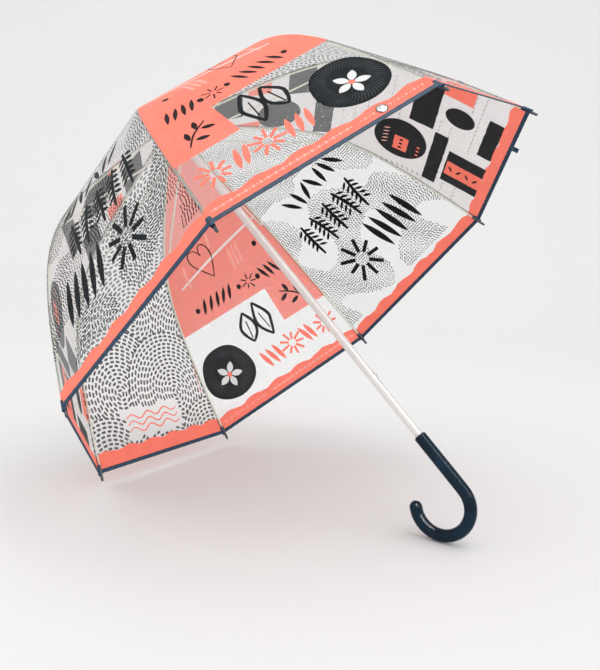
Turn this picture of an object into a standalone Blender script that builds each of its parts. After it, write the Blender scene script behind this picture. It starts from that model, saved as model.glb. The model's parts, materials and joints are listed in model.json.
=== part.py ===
"""Clear bubble umbrella, open, standing on its shaft axis.

Metres, +Z towards the ferrule, origin in the middle of the straight grip.
Eight fibreglass ribs hinge on a wire ring in the top notch, eight stretchers
hinge on a wire ring in the runner, and the film is cut in eight panels, one
over each rib, that meet in the middle of the gores.
"""

import math

import bmesh
import bpy
import numpy as np
from mathutils import Matrix, Vector

# ---------------------------------------------------------------- driving sizes
RIBS = 8                      # ribs, stretchers and film panels
HALF_GORE = math.pi / RIBS    # half the angle between two ribs
HEM_Z = 0.311                 # height of the open dome's hem
# ridge of the open film over a rib: radius, height over the hem (cubic curve)
RIDGE = ((0.0, 0.370), (0.285, 0.272), (0.302, 0.283), (0.420, 0.0))
FILM = 0.00025                # film thickness
RIB_INSET = 0.0034            # rib centreline below the film's ridge
RIB_RADIUS = 0.0015
GAP = 0.0003                  # clearance between touching pieces
SEAM_GAP = 0.00015            # half the gap between two film panels

PIVOT_RADIUS = 0.0125         # wire rings of the notch and the runner
WIRE_RADIUS = 0.0005
EYE_THICK = 0.0012            # flat eyes at the ends of ribs and stretchers
SLOT_WIDTH = 0.0020
RUNNER_DROP = 0.034           # runner's pivots below the notch's, open
CLIP_AT = 0.296               # clip's place along the film's ridge from the apex
# lengths from the apex at which ribs and film have their rows
ROWS = (0.03, 0.07, 0.11, 0.15, 0.18, 0.20, 0.22, 0.24, 0.26, 0.275, 0.288, 0.304, 0.32,
        0.335, 0.35, 0.37, 0.39, 0.415, 0.445, 0.48, 0.52, 0.56)
PIN_INSET = 0.0045            # stretcher's end below the rib centreline
CLIP_RADIUS = 0.0023          # sleeve of the rib clip, and its lug's place beside the rib
LUG_Y = 0.00215
STRETCHER_SIDE = 0.0043       # outer part of a stretcher beside its rib

TUBE_OUT, TUBE_IN = 0.0063, 0.0057
BORE = TUBE_OUT + GAP
TUBE_BOTTOM, TUBE_TOP = -0.0080, 0.6830
HANDLE_RADIUS = 0.00925
HANDLE_TOP, BEND_Z = 0.0485, -0.0470
CROOK_RADIUS, CROOK_SWEEP = 0.0416, math.radians(215.0)
TIP_BEYOND = 0.013            # rib tip past the hem
BOTTOM_CATCH_Z = 0.151        # middle of the lower spring catch


# ---------------------------------------------------------------- scene set-up
def clear_scene():
    for ob in list(bpy.data.objects):
        bpy.data.objects.remove(ob, do_unlink=True)
    for col in list(bpy.data.collections):
        bpy.data.collections.remove(col)


def new_collection(name):
    col = bpy.data.collections.new(name)
    bpy.context.scene.collection.children.link(col)
    return col


def material(name, colour, roughness=0.4, metallic=0.0, transmission=0.0, coat=0.0):
    mat = bpy.data.materials.new(name)
    mat.use_nodes = True
    node = mat.node_tree.nodes["Principled BSDF"]
    node.inputs["Base Color"].default_value = (*colour, 1.0)
    node.inputs["Roughness"].default_value = roughness
    node.inputs["Metallic"].default_value = metallic
    node.inputs["Transmission Weight"].default_value = transmission
    node.inputs["Coat Weight"].default_value = coat
    mat.diffuse_color = (*colour, 1.0)
    return mat


clear_scene()
PART = new_collection("bubble_umbrella")
CUTTERS = new_collection("bubble_umbrella_cutters")
MAT = {
    "painted_shaft": material("painted_shaft", (0.88, 0.87, 0.85), 0.35, 0.0),
    "navy_handle": material("navy_handle", (0.012, 0.022, 0.050), 0.12, coat=0.6),
    "white_plastic": material("white_plastic", (0.85, 0.85, 0.83), 0.4),
    "rib_fibreglass": material("rib_fibreglass", (0.86, 0.88, 0.78), 0.4),
    "navy_plastic": material("navy_plastic", (0.010, 0.020, 0.035), 0.45),
    "clear_film": material("clear_film", (0.95, 0.96, 0.96), 0.08, transmission=0.9),
    "navy_tape": material("navy_tape", (0.010, 0.060, 0.130), 0.85),
    "steel_wire": material("steel_wire", (0.70, 0.70, 0.70), 0.3, 1.0),
}


def publish(name, bm, mat, parent=None, smooth=True):
    """Turns a bmesh in the row frame into a named object whose origin is its parent's."""
    bmesh.ops.remove_doubles(bm, verts=bm.verts, dist=0.00001)
    bmesh.ops.recalc_face_normals(bm, faces=bm.faces)
    mesh = bpy.data.meshes.new(name)
    if parent is not None:
        bm.transform(parent.matrix_world.inverted())
    bm.to_mesh(mesh)
    bm.free()
    for poly in mesh.polygons:
        poly.use_smooth = smooth
    mesh.materials.append(MAT[mat])
    ob = bpy.data.objects.new(name, mesh)
    PART.objects.link(ob)
    if parent is not None:
        ob.parent = parent
    return ob


def pivot_empty(name, location, axis, parent=None):
    """An empty whose local X is the hinge axis (or slide direction)."""
    ob = bpy.data.objects.new(name, None)
    ob.empty_display_size = 0.01
    x = Vector(axis).normalized()
    up = Vector((0, 0, 1)) if abs(x.z) < 0.9 else Vector((1, 0, 0))
    y = up.cross(x).normalized()
    turn = Matrix((x, y, x.cross(y))).transposed().to_4x4()
    world = Matrix.Translation(Vector(location)) @ turn
    PART.objects.link(ob)
    if parent is not None:
        ob.parent = parent
        ob.matrix_parent_inverse = Matrix.Identity(4)
        ob.matrix_basis = parent.matrix_world.inverted() @ world
    else:
        ob.matrix_basis = world
    bpy.context.view_layer.update()
    return ob


def cutter(name, bm, target, operation="DIFFERENCE"):
    """Adds a live boolean to target. The tool object shares target's parent frame."""
    bmesh.ops.remove_doubles(bm, verts=bm.verts, dist=0.00001)
    bmesh.ops.recalc_face_normals(bm, faces=bm.faces)
    mesh = bpy.data.meshes.new(name)
    if target.parent is not None:
        bm.transform(target.parent.matrix_world.inverted())
    bm.to_mesh(mesh)
    bm.free()
    ob = bpy.data.objects.new(name, mesh)
    ob.hide_render = True
    ob.display_type = "WIRE"
    CUTTERS.objects.link(ob)
    ob.parent = target.parent
    mod = target.modifiers.new(name, "BOOLEAN")
    mod.operation = operation
    mod.object = ob
    mod.solver = "EXACT"
    return ob


# ---------------------------------------------------------------- mesh builders
def lathe(profile, segments=32, centre=(0, 0, 0)):
    """A closed ring body: profile is a closed loop of (radius, z)."""
    bm = bmesh.new()
    cx, cy, cz = centre
    rings = []
    for k in range(segments):
        a = 2 * math.pi * k / segments
        ring = [
            bm.verts.new((cx + r * math.cos(a), cy + r * math.sin(a), cz + z))
            for r, z in profile
        ]
        rings.append(ring)
    n = len(profile)
    for k in range(segments):
        one, two = rings[k], rings[(k + 1) % segments]
        for i in range(n):
            j = (i + 1) % n
            bm.faces.new((one[i], one[j], two[j], two[i]))
    return bm


def solid_lathe(profile, segments=32):
    """A closed body that touches the axis: profile runs from axis to axis."""
    bm = bmesh.new()
    bottom = bm.verts.new((0, 0, profile[0][1]))
    top = bm.verts.new((0, 0, profile[-1][1]))
    rings = []
    for r, z in profile[1:-1]:
        rings.append([
            bm.verts.new((
                r * math.cos(2 * math.pi * k / segments),
                r * math.sin(2 * math.pi * k / segments),
                z,
            ))
            for k in range(segments)
        ])
    for k in range(segments):
        j = (k + 1) % segments
        bm.faces.new((bottom, rings[0][j], rings[0][k]))
        bm.faces.new((top, rings[-1][k], rings[-1][j]))
        for one, two in zip(rings, rings[1:]):
            bm.faces.new((one[k], one[j], two[j], two[k]))
    return bm


def sweep(points, sections, sides, flat_dir):
    """A closed rod along points. sections are (half width along flat_dir, half height)."""
    bm = bmesh.new()
    pts = [Vector(p) for p in points]
    y = Vector(flat_dir).normalized()
    rings = []
    for i, p in enumerate(pts):
        along = (pts[min(i + 1, len(pts) - 1)] - pts[max(i - 1, 0)]).normalized()
        z = along.cross(y).normalized()
        w, h = sections[i]
        rings.append([
            bm.verts.new(
                p
                + y * (w * math.cos(2 * math.pi * k / sides))
                + z * (h * math.sin(2 * math.pi * k / sides))
            )
            for k in range(sides)
        ])
    for one, two in zip(rings, rings[1:]):
        for k in range(sides):
            j = (k + 1) % sides
            bm.faces.new((one[k], one[j], two[j], two[k]))
    bm.faces.new(list(reversed(rings[0])))
    bm.faces.new(rings[-1])
    return bm


def torus(radius, wire, z, segments=40, sides=8):
    loop = [
        (radius + wire * math.cos(2 * math.pi * k / sides),
         wire * math.sin(2 * math.pi * k / sides))
        for k in range(sides)
    ]
    return lathe(loop, segments, (0, 0, z))


def cylinder(start, end, radius, sides=16, hole=0.0):
    """A closed cylinder or, with a hole, a closed sleeve from start to end."""
    s, e = Vector(start), Vector(end)
    z = (e - s).normalized()
    x = (Vector((0, 0, 1)) if abs(z.z) < 0.9 else Vector((1, 0, 0))).cross(z).normalized()
    y = z.cross(x)
    bm = bmesh.new()

    def ring(p, r):
        return [
            bm.verts.new(
                p
                + x * (r * math.cos(2 * math.pi * k / sides))
                + y * (r * math.sin(2 * math.pi * k / sides))
            )
            for k in range(sides)
        ]

    rings = [ring(s, radius), ring(e, radius)]
    if hole:
        rings += [ring(e, hole), ring(s, hole)]
    count = len(rings)
    for i in range(count if hole else count - 1):
        one, two = rings[i], rings[(i + 1) % count]
        for k in range(sides):
            j = (k + 1) % sides
            bm.faces.new((one[k], one[j], two[j], two[k]))
    if not hole:
        bm.faces.new(list(reversed(rings[0])))
        bm.faces.new(rings[1])
    return bm


def block(centre, x_dir, y_dir, half):
    """A closed box with half sizes along x_dir, y_dir and their normal."""
    c, x, y = Vector(centre), Vector(x_dir).normalized(), Vector(y_dir).normalized()
    z = x.cross(y)
    bm = bmesh.new()
    v = [
        bm.verts.new(c + x * (i * half[0]) + y * (j * half[1]) + z * (k * half[2]))
        for i in (-1, 1) for j in (-1, 1) for k in (-1, 1)
    ]
    for f in ((0, 1, 3, 2), (4, 6, 7, 5), (0, 4, 5, 1), (2, 3, 7, 6), (0, 2, 6, 4), (1, 5, 7, 3)):
        bm.faces.new([v[i] for i in f])
    return bm


def prism(outline, thick, to_world):
    """A closed plate: outline is a list of (a, b) points, thick its full thickness."""
    bm = bmesh.new()
    sides = [
        [bm.verts.new(to_world(a, b, h)) for a, b in outline]
        for h in (-thick / 2, thick / 2)
    ]
    n = len(outline)
    bm.faces.new(list(reversed(sides[0])))
    bm.faces.new(sides[1])
    for i in range(n):
        j = (i + 1) % n
        bm.faces.new((sides[0][i], sides[0][j], sides[1][j], sides[1][i]))
    return bm


# ---------------------------------------------------------------- dome geometry
def ridge_table(steps=2000):
    t = np.linspace(0, 1, steps + 1)[:, None]
    p = [np.array(q) for q in RIDGE]
    line = (1 - t) ** 3 * p[0] + 3 * (1 - t) ** 2 * t * p[1]
    line = line + 3 * (1 - t) * t ** 2 * p[2] + t ** 3 * p[3]
    run = np.concatenate([[0], np.cumsum(np.linalg.norm(np.diff(line, axis=0), axis=1))])
    return line, run


LINE, RUN = ridge_table()
LENGTH = float(RUN[-1])


def ridge(s):
    """(radius, z, d radius, d z) of the film's ridge at length s from the apex."""
    r, z = (float(np.interp(s, RUN, LINE[:, i])) for i in (0, 1))
    e = 0.0015
    lo, hi = max(0.0, min(s, LENGTH) - e), min(LENGTH, s + e)
    d = [
        float(np.interp(hi, RUN, LINE[:, i]) - np.interp(lo, RUN, LINE[:, i]))
        for i in (0, 1)
    ]
    n = math.hypot(*d)
    dr, dz = d[0] / n, d[1] / n
    if s > LENGTH:
        r, z = r + dr * (s - LENGTH), z + dz * (s - LENGTH)
    return r, z + HEM_Z, dr, dz


def rib_line(s, inset=RIB_INSET):
    """(radius, z) of a line under the ridge."""
    r, z, dr, dz = ridge(s)
    return r + dz * inset, z - dr * inset


def ridge_length_at(radius):
    """Length s at which the rib line reaches a radius."""
    lo, hi = 0.0, LENGTH
    for _ in range(50):
        mid = (lo + hi) / 2
        lo, hi = (mid, hi) if rib_line(mid)[0] < radius else (lo, mid)
    return lo


EYE_AT = ridge_length_at(PIVOT_RADIUS)
NOTCH_Z = rib_line(EYE_AT)[1]
RUNNER_Z = NOTCH_Z - RUNNER_DROP
PIN_R, PIN_Z = rib_line(CLIP_AT, RIB_INSET + PIN_INSET)


class Frame:
    """A rib's own vertical plane: radius and height in it, sideways out of it."""

    def __init__(self, index):
        self.angle = (2 * index + 1) * HALF_GORE
        self.out = Vector((math.cos(self.angle), math.sin(self.angle), 0))
        self.side = Vector((-math.sin(self.angle), math.cos(self.angle), 0))

    def at(self, r, z, y=0.0):
        return self.out * r + self.side * y + Vector((0, 0, z))


def film_point(frame, s, w, height=0.0):
    """A point on the film: w runs from -1 to 1 across the panel, 0 on the ridge.

    The film is straight from the ridge to the middle of the gore; height lifts
    the point off the film along its normal.
    """
    r, z, dr, dz = ridge(s)
    half = abs(w)
    turn = 1.0 if w >= 0 else -1.0
    c, sn = math.cos(HALF_GORE), math.sin(HALF_GORE)
    x, y = r * (1 - sn * sn * half), turn * r * sn * c * half
    # gore plane's outward direction and the profile across it
    e = Vector((c, turn * sn, 0)) if half > 1e-6 else Vector((1, 0, 0))
    k = c if half > 1e-6 else 1.0
    n = Vector((-dz * e.x, -dz * e.y, k * dr)).normalized()
    if half <= 1e-6:
        # mitre at the ridge, so that the film keeps its thickness on both sides
        flank = Vector((-dz * c, -dz * sn, c * dr)).normalized()
        n = n / max(0.5, n.dot(flank))
    p = Vector((x, y, z)) + n * height
    return frame.at(p.x, p.z, p.y)


def edge_share(s):
    """How far w runs so that the seam gap stays between two panels."""
    width = ridge(s)[0] * math.sin(HALF_GORE)
    return 1 - SEAM_GAP / width


# ---------------------------------------------------------------- central parts
def build_shaft():
    tube = publish(
        "shaft_tube",
        lathe([(TUBE_IN, TUBE_BOTTOM), (TUBE_OUT, TUBE_BOTTOM),
               (TUBE_OUT, TUBE_TOP), (TUBE_IN, TUBE_TOP)], 32),
        "painted_shaft",
    )
    for name, z in (("bottom", BOTTOM_CATCH_Z), ("top", TOP_CATCH_Z)):
        cutter(
            f"cut_shaft_slot_{name}",
            block((TUBE_OUT, 0, z), (1, 0, 0), (0, 1, 0), (0.0025, 0.0012, 0.0105)),
            tube,
        )


def crook_points():
    pts = [(0, 0, HANDLE_TOP), (0, 0, HANDLE_TOP - 0.0015), (0, 0, 0.020), (0, 0, -0.015),
           (0, 0, BEND_Z + 0.004)]
    steps = 26
    for k in range(1, steps + 1):
        a = CROOK_SWEEP * k / steps
        pts.append((-CROOK_RADIUS * (1 - math.cos(a)), 0, BEND_Z - CROOK_RADIUS * math.sin(a)))
    return pts


def build_handle():
    pts = [Vector(p) for p in crook_points()]
    radii = [HANDLE_RADIUS - 0.0010, HANDLE_RADIUS] + [HANDLE_RADIUS] * (len(pts) - 2)
    end, along = pts[-1], (pts[-1] - pts[-2]).normalized()
    for k in (1, 2, 3, 4):
        a = math.radians(20 * k)
        pts.append(end + along * (HANDLE_RADIUS * math.sin(a)))
        radii.append(HANDLE_RADIUS * math.cos(a))
    handle = publish(
        "crook_handle",
        sweep(pts, [(r, r) for r in radii], 24, (0, 1, 0)),
        "navy_handle",
    )
    cutter(
        "cut_handle_bore",
        cylinder((0, 0, TUBE_BOTTOM - 0.0010), (0, 0, HANDLE_TOP + 0.005), BORE, 32),
        handle,
    )


def build_top():
    """Notch, its wire ring, the crown cap over the film and the ferrule."""
    z = NOTCH_Z
    notch = publish(
        "top_notch",
        lathe([(BORE, z - 0.0060), (0.0085, z - 0.0060), (0.0110, z - 0.0040),
               (0.0145, z - 0.0040), (0.0145, z - 0.0010), (0.0114, z - 0.0010),
               (0.0114, z + 0.0010), (0.0145, z + 0.0010), (0.0145, z + 0.0016),
               (BORE, z + 0.0030)], 48),
        "white_plastic",
    )
    for i in range(RIBS):
        f = Frame(i)
        cutter(
            f"cut_notch_slot_{i + 1}",
            block(f.at(0.0145, z), f.out, f.side, (0.0048, SLOT_WIDTH / 2, 0.0100)),
            notch,
        )
    publish("notch_wire", torus(PIVOT_RADIUS, WIRE_RADIUS, z), "steel_wire")

    low = film_point(Frame(0), 0.0075, 0, FILM / 2 + 0.0004)
    rise = 0.0003
    inner, outer = TUBE_OUT + 0.0006, 0.0185
    slope = (ridge(0.018)[1] - ridge(0.0075)[1]) / (ridge(0.018)[0] - ridge(0.0075)[0])
    under = [(r, low.z + slope * (r - 0.0075) + rise) for r in (inner, outer)]
    publish(
        "crown_cap",
        lathe([under[0], under[1], (outer, under[1][1] + 0.0010),
               (0.0160, under[1][1] + 0.0026), (0.0100, under[0][1] + 0.0026),
               (inner, under[0][1] + 0.0032)], 40),
        "navy_plastic",
    )
    # ferrule with a plug that fits inside the end of the tube
    base, plug = under[0][1] + 0.0035, TUBE_IN - GAP
    publish(
        "ferrule",
        solid_lathe([(0, base - 0.0120), (plug, base - 0.0120), (plug, base), (0.0062, base),
                     (0.0066, base + 0.0010), (0.0064, base + 0.0120),
                     (0.0052, base + 0.0300), (0.0046, base + 0.0330),
                     (0.0040, base + 0.0340), (0, base + 0.0340)], 32),
        "navy_plastic",
    )


def build_runner(parent):
    z = RUNNER_Z
    foot = z - RUNNER_SKIRT
    runner = publish(
        "runner",
        lathe([(BORE, foot), (0.0086, foot), (0.0090, foot + 0.0010), (0.0090, z - 0.0075),
               (0.0100, z - 0.0050), (0.0145, z - 0.0040), (0.0145, z - 0.0010),
               (0.0114, z - 0.0010), (0.0114, z + 0.0010), (0.0145, z + 0.0010),
               (0.0145, z + 0.0030), (0.0090, z + 0.0042), (BORE, z + 0.0042)], 48),
        "white_plastic",
        parent,
    )
    for i in range(RIBS):
        f = Frame(i)
        cutter(
            f"cut_runner_slot_{i + 1}",
            block(f.at(0.0145, z + 0.0010), f.out, f.side, (0.0048, SLOT_WIDTH / 2, 0.0100)),
            runner,
        )
    # window that the lower catch springs into when the umbrella is shut
    cutter(
        "cut_runner_window",
        block((0.0075, 0, BOTTOM_CATCH_Z + TRAVEL), (1, 0, 0), (0, 1, 0),
              (0.0040, 0.0016, 0.0062)),
        runner,
    )
    publish("runner_wire", torus(PIVOT_RADIUS, WIRE_RADIUS, z), "steel_wire", parent)


def build_catch(name, z, parent):
    back, face, nose = TUBE_OUT - 0.0024, TUBE_OUT - 0.0008, TUBE_OUT + 0.0021
    outline = [(back, z - 0.0092), (back + 0.0014, z - 0.0092), (face, z - 0.0056),
               (nose, z + 0.0040), (nose, z + 0.0052), (face, z + 0.0054),
               (back + 0.0014, z + 0.0092), (back, z + 0.0092)]
    publish(
        name,
        prism(outline, 0.0018, lambda a, b, h: Vector((a, h, b))),
        "steel_wire",
        parent,
        smooth=False,
    )


# ---------------------------------------------------------------- ribs and film
def eye(frame, r, z, hole, outer=0.0021, sides=16):
    return cylinder(
        frame.at(r, z, -EYE_THICK / 2), frame.at(r, z, EYE_THICK / 2), outer, sides, hole
    )


def build_rib(i, parent):
    f = Frame(i)
    start, stop = EYE_AT + 0.0016, LENGTH - 0.0005
    lengths = [start, EYE_AT + 0.0060, EYE_AT + 0.0110]
    lengths += [*ROWS, stop]
    sections = [(EYE_THICK / 2, 0.0014), (EYE_THICK / 2, 0.0016)]
    sections += [(RIB_RADIUS, RIB_RADIUS)] * (len(lengths) - 2)
    points = []
    for s in lengths:
        r, z = rib_line(s)
        points.append(f.at(r, z))
    rib = publish(f"rib_{i + 1}", sweep(points, sections, 8, f.side), "rib_fibreglass", parent)
    cutter(f"join_rib_eye_{i + 1}", eye(f, PIVOT_RADIUS, NOTCH_Z, 0.0), rib, "UNION")
    cutter(
        f"cut_rib_eye_{i + 1}",
        cylinder(f.at(PIVOT_RADIUS, NOTCH_Z, -0.003), f.at(PIVOT_RADIUS, NOTCH_Z, 0.003),
                 WIRE_RADIUS + GAP, 12),
        rib,
    )


def build_tip(i, parent):
    """Plastic tip: a sleeve over the rib's end with a rounded, closed nose."""
    f = Frame(i)
    r1, z1 = rib_line(LENGTH)
    _, _, dr, dz = ridge(LENGTH)

    def at(d):
        return Vector((r1 + dr * d, z1 + dz * d))

    stations = [(-0.0130, 0.00205), (-0.0120, 0.00225), (0.0020, 0.00225), (0.0105, 0.0020),
                (0.0122, 0.0016), (TIP_BEYOND, 0.0008)]
    points = [f.at(at(d).x, at(d).y) for d, _ in stations]
    tip = publish(
        f"rib_tip_{i + 1}",
        sweep(points, [(r, r) for _, r in stations], 12, f.side),
        "navy_plastic",
        parent,
    )
    a, b = at(-0.0150), at(GAP)
    cutter(
        f"cut_tip_bore_{i + 1}",
        cylinder(f.at(a.x, a.y), f.at(b.x, b.y), RIB_RADIUS + GAP, 12),
        tip,
    )


def build_clip(i, parent):
    """Clip crimped round the rib, with a lug on one side for the stretcher's end."""
    f = Frame(i)
    r, z, dr, dz = ridge(CLIP_AT)
    centre = Vector(rib_line(CLIP_AT))
    along, down = Vector((dr, dz)), Vector((dz, -dr))

    def at(a, d, y):
        p = centre + along * a + down * d
        return f.at(p.x, p.y, y)

    clip = publish(
        f"rib_clip_{i + 1}",
        cylinder(at(-0.006, 0, 0), at(0.006, 0, 0), CLIP_RADIUS, 12, RIB_RADIUS + GAP),
        "white_plastic",
        parent,
        smooth=False,
    )
    lug = [(-0.0034, -0.0008), (0.0034, -0.0008), (0.0034, 0.0030), (0.0024, 0.0062),
           (-0.0024, 0.0062), (-0.0034, 0.0030)]
    cutter(
        f"join_clip_lug_{i + 1}",
        prism(lug, 0.0006, lambda a, d, h: at(a, d, LUG_Y + h)),
        clip,
        "UNION",
    )


def build_stretcher(i, parent):
    """Stretcher: leaves the runner in the rib's plane and ends beside the rib clip.

    Its outer part runs STRETCHER_SIDE beside the rib, so that the two pass each
    other while the umbrella opens and shuts.
    """
    f = Frame(i)
    a, b = Vector((PIVOT_RADIUS, RUNNER_Z)), Vector((PIN_R, PIN_Z))
    along = (b - a).normalized()
    length = (b - a).length
    neck = EYE_THICK / 2 - 0.0001
    places = [(0.0016, neck, 0.0014, 0.0), (0.0060, neck, 0.0015, 0.0),
              (0.0110, 0.0014, 0.0014, 0.0), (0.0300, 0.0014, 0.0014, 0.0),
              (0.0700, 0.0014, 0.0014, 0.25), (0.1400, 0.0014, 0.0014, 0.85),
              (0.1750, 0.0014, 0.0014, 1.0), (length - 0.0120, 0.0014, 0.0014, 1.0),
              (length - 0.0010, 0.0014, 0.0014, 1.0)]
    points = [
        f.at(*(a + along * d), STRETCHER_SIDE * share) for d, _, _, share in places
    ]
    bar = publish(
        f"stretcher_{i + 1}",
        sweep(points, [(w, h) for _, w, h, _ in places], 8, f.side),
        "rib_fibreglass",
        parent,
    )
    cutter(f"join_inner_eye_{i + 1}", eye(f, a.x, a.y, 0.0), bar, "UNION")
    cutter(
        f"join_outer_boss_{i + 1}",
        cylinder(f.at(b.x, b.y, STRETCHER_SIDE - 0.0013),
                 f.at(b.x, b.y, STRETCHER_SIDE + 0.0016), 0.0021, 16),
        bar,
        "UNION",
    )
    cutter(
        f"cut_inner_eye_{i + 1}",
        cylinder(f.at(a.x, a.y, -0.003), f.at(a.x, a.y, 0.003), WIRE_RADIUS + GAP, 12),
        bar,
    )


def build_panel(i, parent):
    """One film panel, centred on its rib, as a thin closed sheet."""
    f = Frame(i)
    shares = (-1.0, -0.5, 0.0, 0.5, 1.0)
    bm = bmesh.new()
    layers = []
    for height in (-FILM / 2, FILM / 2):
        rows = []
        for s in (0.0078, *ROWS, LENGTH + 0.0001):
            e = edge_share(s)
            rows.append([bm.verts.new(film_point(f, s, w * e, height)) for w in shares])
        layers.append(rows)
    inner, outer = layers
    rows, cols = len(outer), len(shares)
    for a in range(rows - 1):
        for b in range(cols - 1):
            for grid in (inner, outer):
                bm.faces.new((grid[a][b], grid[a + 1][b], grid[a + 1][b + 1], grid[a][b + 1]))
    for a in range(rows - 1):
        for b in (0, cols - 1):
            bm.faces.new((inner[a][b], inner[a + 1][b], outer[a + 1][b], outer[a][b]))
    for b in range(cols - 1):
        for a in (0, rows - 1):
            bm.faces.new((inner[a][b], inner[a][b + 1], outer[a][b + 1], outer[a][b]))
    publish(f"film_panel_{i + 1}", bm, "clear_film", parent)


def build_binding(i, parent):
    """Hem tape folded round the film's edge: a U section along the panel's hem."""
    f = Frame(i)
    wide, lip = 0.0052, 0.0008
    out, slot = 0.00078, FILM / 2 + GAP
    section = [(-wide, out), (lip, out), (lip, -out), (-wide, -out),
               (-wide, -slot), (GAP + 0.0001, -slot), (GAP + 0.0001, slot), (-wide, slot)]
    bm = bmesh.new()
    rings = []
    for w in (-1.0, 0.0, 1.0):
        rings.append([
            bm.verts.new(film_point(f, LENGTH + d, w * edge_share(LENGTH + d), h))
            for d, h in section
        ])
    n = len(section)
    for one, two in zip(rings, rings[1:]):
        for k in range(n):
            j = (k + 1) % n
            bm.faces.new((one[k], one[j], two[j], two[k]))
    bm.faces.new(list(reversed(rings[0])))
    bm.faces.new(rings[-1])
    publish(f"hem_binding_{i + 1}", bm, "navy_tape", parent, smooth=False)


def film_strip(name, frame, mat, parent, s_range, w_range, lift, thick):
    """A thin flat piece lying over the film between two lengths and two shares."""
    (s1, s2), (w1, w2) = s_range, w_range
    bm = bmesh.new()
    layers = []
    for height in (lift, lift + thick):
        layers.append([
            [bm.verts.new(film_point(frame, s1 + (s2 - s1) * k / 4, w, height)) for w in (w1, w2)]
            for k in range(5)
        ])
    low, high = layers
    for a in range(4):
        for grid in (low, high):
            bm.faces.new((grid[a][0], grid[a + 1][0], grid[a + 1][1], grid[a][1]))
        for b in (0, 1):
            bm.faces.new((low[a][b], low[a + 1][b], high[a + 1][b], high[a][b]))
    for a in (0, 4):
        bm.faces.new((low[a][0], low[a][1], high[a][1], high[a][0]))
    publish(name, bm, mat, parent)


# ---------------------------------------------------------------- assembly
RUNNER_SKIRT = 0.0280
TOP_CATCH_Z = RUNNER_Z - RUNNER_SKIRT - GAP - 0.0054
RIB_SWING = math.radians(45.0)    # rib's turn from open to shut


def shut_travel():
    """How far the runner slides down when the ribs have swung by RIB_SWING."""
    reach = math.hypot(PIN_R - PIVOT_RADIUS, PIN_Z - RUNNER_Z)
    dr, dz = PIN_R - PIVOT_RADIUS, PIN_Z - NOTCH_Z
    c, s = math.cos(RIB_SWING), math.sin(RIB_SWING)
    r, z = PIVOT_RADIUS + dr * c + dz * s, NOTCH_Z - dr * s + dz * c
    return RUNNER_Z - (z - math.sqrt(reach ** 2 - (r - PIVOT_RADIUS) ** 2))


TRAVEL = shut_travel()

build_shaft()
build_handle()
build_top()
runner_slide = pivot_empty("joint_runner_slide", (0, 0, RUNNER_Z), (0, 0, -1))
build_runner(runner_slide)
for catch_name, catch_z in (("top_catch", TOP_CATCH_Z), ("bottom_catch", BOTTOM_CATCH_Z)):
    press = pivot_empty(f"joint_{catch_name}_press", (TUBE_OUT, 0, catch_z), (-1, 0, 0))
    build_catch(catch_name, catch_z, press)
for number in range(RIBS):
    plane = Frame(number)
    hinge = pivot_empty(
        f"joint_rib_hinge_{number + 1}", plane.at(PIVOT_RADIUS, NOTCH_Z), plane.side
    )
    build_rib(number, hinge)
    build_tip(number, hinge)
    build_clip(number, hinge)
    build_panel(number, hinge)
    build_binding(number, hinge)
    pivot = pivot_empty(
        f"joint_stretcher_hinge_{number + 1}",
        plane.at(PIVOT_RADIUS, RUNNER_Z), -plane.side, runner_slide,
    )
    build_stretcher(number, pivot)

# closing strap and the small blank hem tag, both on the first rib's film
first_rib = bpy.data.objects["joint_rib_hinge_1"]
film_strip("closing_strap", Frame(0), "clear_film", first_rib,
           (LENGTH - 0.0850, LENGTH - 0.0075), (-0.66, -0.55), FILM / 2 + GAP, 0.0006)
film_strip("hem_tag", Frame(0), "navy_tape", first_rib,
           (LENGTH + 0.0012, LENGTH + 0.0102), (0.585, 0.650), -0.0005, 0.0010)
bpy.context.view_layer.update()
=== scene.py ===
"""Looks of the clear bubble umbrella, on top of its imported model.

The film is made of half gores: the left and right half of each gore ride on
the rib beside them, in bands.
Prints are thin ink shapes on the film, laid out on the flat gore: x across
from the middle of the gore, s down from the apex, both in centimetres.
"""

import json
import math
import random

import bmesh
import bpy
import numpy as np
from mathutils import Matrix, Vector


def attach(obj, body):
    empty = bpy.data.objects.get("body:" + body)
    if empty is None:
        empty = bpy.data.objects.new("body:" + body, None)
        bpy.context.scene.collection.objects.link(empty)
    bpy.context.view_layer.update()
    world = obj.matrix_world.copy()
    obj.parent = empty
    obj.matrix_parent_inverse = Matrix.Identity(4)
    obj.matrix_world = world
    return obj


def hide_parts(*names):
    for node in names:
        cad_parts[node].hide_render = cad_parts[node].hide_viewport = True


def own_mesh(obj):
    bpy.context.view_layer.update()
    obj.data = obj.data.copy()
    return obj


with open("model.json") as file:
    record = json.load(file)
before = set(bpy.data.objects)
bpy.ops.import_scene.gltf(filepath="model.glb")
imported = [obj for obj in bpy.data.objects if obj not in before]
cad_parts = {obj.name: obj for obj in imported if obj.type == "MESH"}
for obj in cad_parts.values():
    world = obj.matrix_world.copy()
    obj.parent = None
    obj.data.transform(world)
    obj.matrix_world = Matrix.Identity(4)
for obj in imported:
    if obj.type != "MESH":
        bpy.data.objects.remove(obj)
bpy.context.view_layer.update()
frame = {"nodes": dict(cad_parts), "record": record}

# ---------------------------------------------------------------- camera and stage
CAMERA = Vector((0.605, -1.200, -0.112))
AIM = Vector((-0.039, -0.021, 0.273))
ROLL = math.radians(-38.3)
LENS = 50.9
BACK = (CAMERA - AIM).normalized()
LEVEL = Vector((0, 0, 1)).cross(BACK).normalized()
UPRIGHT = BACK.cross(LEVEL)
RIGHT = LEVEL * math.cos(ROLL) + UPRIGHT * math.sin(ROLL)
UP = UPRIGHT * math.cos(ROLL) - LEVEL * math.sin(ROLL)


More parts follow.
